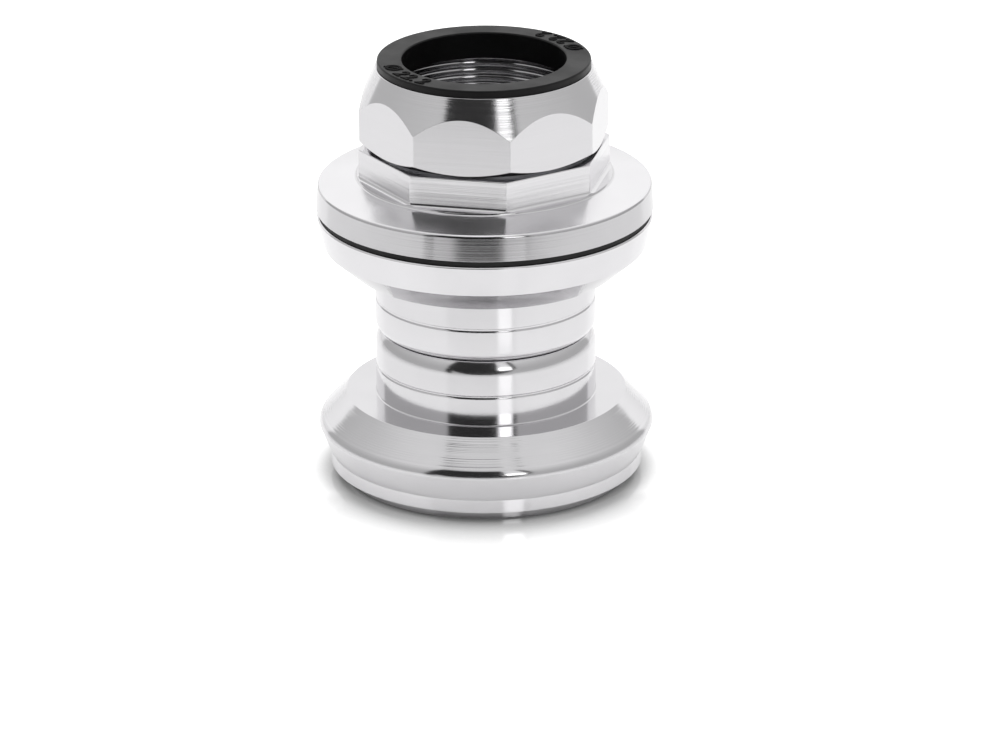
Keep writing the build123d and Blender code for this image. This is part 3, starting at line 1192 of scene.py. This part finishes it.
@dataclass
class Studio:
    """A white acrylic table in a white tent that is open towards the camera.

    Attributes:
        floor_front: How far the table reaches towards the camera, in metres.
        floor_reach: How far it reaches to the sides and back, in metres.
        floor_lift: Glow added to the table where the camera sees it, held back by the painted
            shadow.
        shadow_reach: How far the painted shadow reaches beside the part, in metres.
        shadow_front: How far the painted shadow reaches in front of the part, in metres.
        shadow_span: Places towards the camera between which the two blend, in metres.
        opening_fall: Heights between which the open side narrows, and by how much, in degrees.
    """

    floor_front: float = 0.183
    floor_reach: float = 3.0
    floor_hex: str = "#EDEDED"
    floor_lift: float = 0.5
    floor_roughness: float = 0.1
    floor_ior: float = 1.45
    shadow_reach: float = 0.005
    shadow_front: float = 0.021
    shadow_span: tuple[float, float] = (-0.026, -0.010)
    shadow_samples: int = 8
    lens_mm: float = 211.24
    sensor_mm: float = 36.0
    clip: tuple[float, float] = (0.01, 20.0)
    camera_mm: tuple[float, float, float] = (0.0, -754.26, 304.61)
    yaw_deg: float = 0.147
    pitch_deg: float = -21.120
    roll_deg: float = -0.312
    opening: Band = Band(-4.5, 36.5, 2.19)
    opening_top: Band = Band(0.0, 57.0, 4.0)
    opening_fall: tuple[float, float, float] = (-4.0, 25.0, 32.85)
    opening_light: float = 0.03
    pole: Band = Band(-38.0, 3.5, 1.5)
    pole_top: Band = Band(0.0, 16.0, 4.0)
    strip: Band = Band(20.0, 7.0, 1.0)
    strip_light: Levels = (
        (11, 0.0), (16, 2.5), (25, 2.4), (31, 0.88), (54, 0.82), (60, 0.0)
    )
    back: Band = Band(180.0, 45.0, 2.0)
    wall_light: Levels = (
        (0, 0.5), (15, 0.5), (35, 0.61), (55, 0.78), (75, 0.7), (83, 1.3)
    )
    back_light: Levels = (
        (0, 0.88), (12, 1.0), (42, 1.04), (60, 0.78), (75, 0.7), (83, 1.3)
    )
    lamp_height: float = 1.1
    lamp_back: float = 0.08
    lamp_side: float = 0.6
    lamp_watts: float = 8.2

    def floor(self) -> None:
        """Lay the white acrylic table top, with a soft mirror in its gloss and a painted shadow.
        """
        material, tree = new_tree("white_acrylic_table")
        # Where the camera sees it, ambient occlusion darkens the table's colour and glow round
        # the part: a painted shadow that stays close to the rim at the sides and reaches further
        # out in front.
        place = add_node(tree, "TexCoord").outputs["Object"]
        axes = add_node(tree, "SeparateXYZ", {0: place}).outputs
        blend = (axes[1], *self.shadow_span, self.shadow_front, self.shadow_reach)
        reach = add_node(tree, "MapRange", dict(enumerate(blend)))
        white = linear(self.floor_hex)
        # Painted shadow: ambient occlusion that darkens the table round the part for camera rays.
        shade = {"Color": white, "Distance": reach}
        near = add_node(tree, "AmbientOcclusion", shade, samples=self.shadow_samples).outputs
        seen = add_node(tree, "LightPath").outputs["Is Camera Ray"]
        tint = {0: seen, 6: white, 7: near["Color"]}
        colour = add_node(tree, "Mix", tint, data_type="RGBA").outputs[2]
        gloss = {"Roughness": self.floor_roughness, "IOR": self.floor_ior}
        acrylic = add_node(tree, "BsdfPrincipled", {"Base Color": colour} | gloss)
        # The camera-only glow fades out under the painted shadow.
        clear = add_node(tree, "Math", {0: seen, 1: near["AO"]}, operation="MULTIPLY")
        lift = add_node(tree, "Math", {0: clear, 1: self.floor_lift}, operation="MULTIPLY")
        glow = add_node(tree, "Emission", {"Strength": lift})
        both = add_node(tree, "AddShader", {0: acrylic, 1: glow})
        add_node(tree, "OutputMaterial", {"Surface": both})
        side, front, back = self.floor_reach, -self.floor_front, self.floor_reach
        corners = [(-side, front, 0), (side, front, 0), (side, back, 0), (-side, back, 0)]
        table = place_mesh("table_top", corners, [(0, 1, 2, 3)], [material])

    def lamp(self) -> None:
        """Hang a wide soft lamp that lights the table and stays out of reflections."""
        data = bpy.data.lights.new("overhead_softbox", "AREA")
        data.shape = "SQUARE"
        data.size = self.lamp_side
        data.energy = self.lamp_watts
        lamp = bpy.data.objects.new("overhead_softbox", data)
        lamp.location = (0.0, self.lamp_back, self.lamp_height)
        lamp.rotation_euler = (-math.atan2(self.lamp_back, self.lamp_height), 0.0, 0.0)
        lamp.visible_glossy = False
        bpy.context.scene.collection.objects.link(lamp)

    def arch(self, tree: NodeTree, azimuth: Node, height: Node) -> Node:
        """Mark the directions of the tent's open side, which narrows towards the table.

        Args:
            tree: The world's node tree.
            azimuth: The direction round the part, in radians.
            height: The direction's height, in radians.

        Returns:
            A node that gives 1 inside the open side and 0 outside it.
        """
        middle = math.radians(self.opening.middle)
        across = add_node(tree, "Math", {0: azimuth, 1: middle}, operation="SUBTRACT")
        fall = (height, *(math.radians(angle) for angle in self.opening_fall), 0.0)
        below = add_node(tree, "MapRange", dict(enumerate(fall)))
        place = add_node(tree, "CombineXYZ", {0: across, 1: below})
        away = add_node(tree, "VectorMath", {0: place}, operation="LENGTH").outputs["Value"]
        return Band(0.0, self.opening.half, self.opening.soft).mark(tree, away)

    def by_height(self, tree: NodeTree, height: Node, levels: Levels) -> Node:
        """Grade a wall's light by the height above the table.

        Args:
            tree: The world's node tree.
            height: The direction's height as a share of a quarter turn.
            levels: The wall's light levels.

        Returns:
            A node that gives the wall's light.
        """
        ramp = add_node(tree, "ValToRGB", {"Fac": height})
        stops = ramp.color_ramp.elements
        while len(stops) < len(levels):
            stops.new(0.5)
        for stop, (degrees, light) in zip(stops, levels):
            stop.position = degrees / 90
            stop.color = (light, light, light, 1.0)
        return ramp

    def tent(self) -> None:
        """Light the set: a white tent, its open side with a pole, and a strip of light."""
        world = bpy.data.worlds.new("white_tent")
        bpy.context.scene.world = world
        world.use_nodes = True
        tree = world.node_tree
        tree.nodes.clear()
        way = add_node(tree, "TexCoord").outputs["Generated"]
        axes = add_node(tree, "SeparateXYZ", {0: way}).outputs
        front = add_node(tree, "Math", {0: axes[1], 1: -1.0}, operation="MULTIPLY")
        azimuth = add_node(tree, "Math", {0: axes[0], 1: front}, operation="ARCTAN2")
        height = add_node(tree, "Math", {0: axes[2]}, operation="ARCSINE")
        share = add_node(tree, "Math", {0: height, 1: math.pi / 2}, operation="DIVIDE")
        back_way = add_node(tree, "Math", {0: azimuth}, operation="ABSOLUTE")
        sides = {
            0: self.back.mark(tree, back_way),
            2: self.by_height(tree, share, self.wall_light),
            3: self.by_height(tree, share, self.back_light),
        }
        walls = add_node(tree, "Mix", sides)
        opening, pole, strip = (
            add_node(tree, "Math", {0: across, 1: up}, operation="MULTIPLY")
            for across, up in (
                (self.arch(tree, azimuth, height), self.opening_top.mark(tree, height)),
                (self.pole.mark(tree, azimuth), self.pole_top.mark(tree, height)),
                (self.strip.mark(tree, azimuth), self.by_height(tree, share, self.strip_light)),
            )
        )
        dark = add_node(tree, "Math", {0: opening, 1: pole}, operation="MAXIMUM")
        tent = add_node(tree, "Mix", {0: dark, 2: walls, 3: self.opening_light})
        light = add_node(tree, "Math", {0: strip, 1: tent}, operation="ADD")
        white = (1.0, 1.0, 1.0, 1.0)
        lit = add_node(tree, "Background", {"Color": white, "Strength": light})
        backdrop = add_node(tree, "Background", {"Color": white, "Strength": 1.0})
        seen = add_node(tree, "LightPath").outputs["Is Camera Ray"]
        shown = add_node(tree, "MixShader", {0: seen, 1: lit, 2: backdrop})
        add_node(tree, "OutputWorld", {"Surface": shown})

    def camera(self) -> None:
        """Set up the camera at the photo's angle."""
        data = bpy.data.cameras.new("camera")
        data.lens = self.lens_mm
        data.sensor_width = self.sensor_mm
        data.clip_start, data.clip_end = self.clip
        angles = (self.yaw_deg, self.pitch_deg, self.roll_deg)
        yaw, pitch, tilt = (math.radians(angle) for angle in angles)
        reach = math.cos(pitch)
        ahead = Vector((math.sin(yaw) * reach, math.cos(yaw) * reach, math.sin(pitch)))
        level = ahead.cross(Vector((0, 0, 1))).normalized()
        above = level.cross(ahead)
        right = level * math.cos(tilt) + above * math.sin(tilt)
        up = above * math.cos(tilt) - level * math.sin(tilt)
        turned = Matrix((right, up, -ahead)).transposed().to_4x4()
        turned.translation = Vector(self.camera_mm) * MM
        made = bpy.data.objects.new("camera", data)
        made.matrix_world = turned
        bpy.context.scene.collection.objects.link(made)
        bpy.context.scene.camera = made

    def build(self) -> None:
        """Build the table, the light and the camera."""
        self.floor()
        self.lamp()
        self.tent()
        self.camera()
        bpy.context.scene.view_settings.view_transform = "Standard"


def main() -> None:
    """Build the headset from the top down, then the studio."""
    logging.basicConfig(level=logging.INFO, format="%(message)s")
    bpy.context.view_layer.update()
    InnerParts().dress()
    for assembly in (StemSeal, Locknut, AdjustingRace, UpperCup, LowerCup):
        assembly().build()
    Studio().build()


if __name__ == "__main__":
    main()
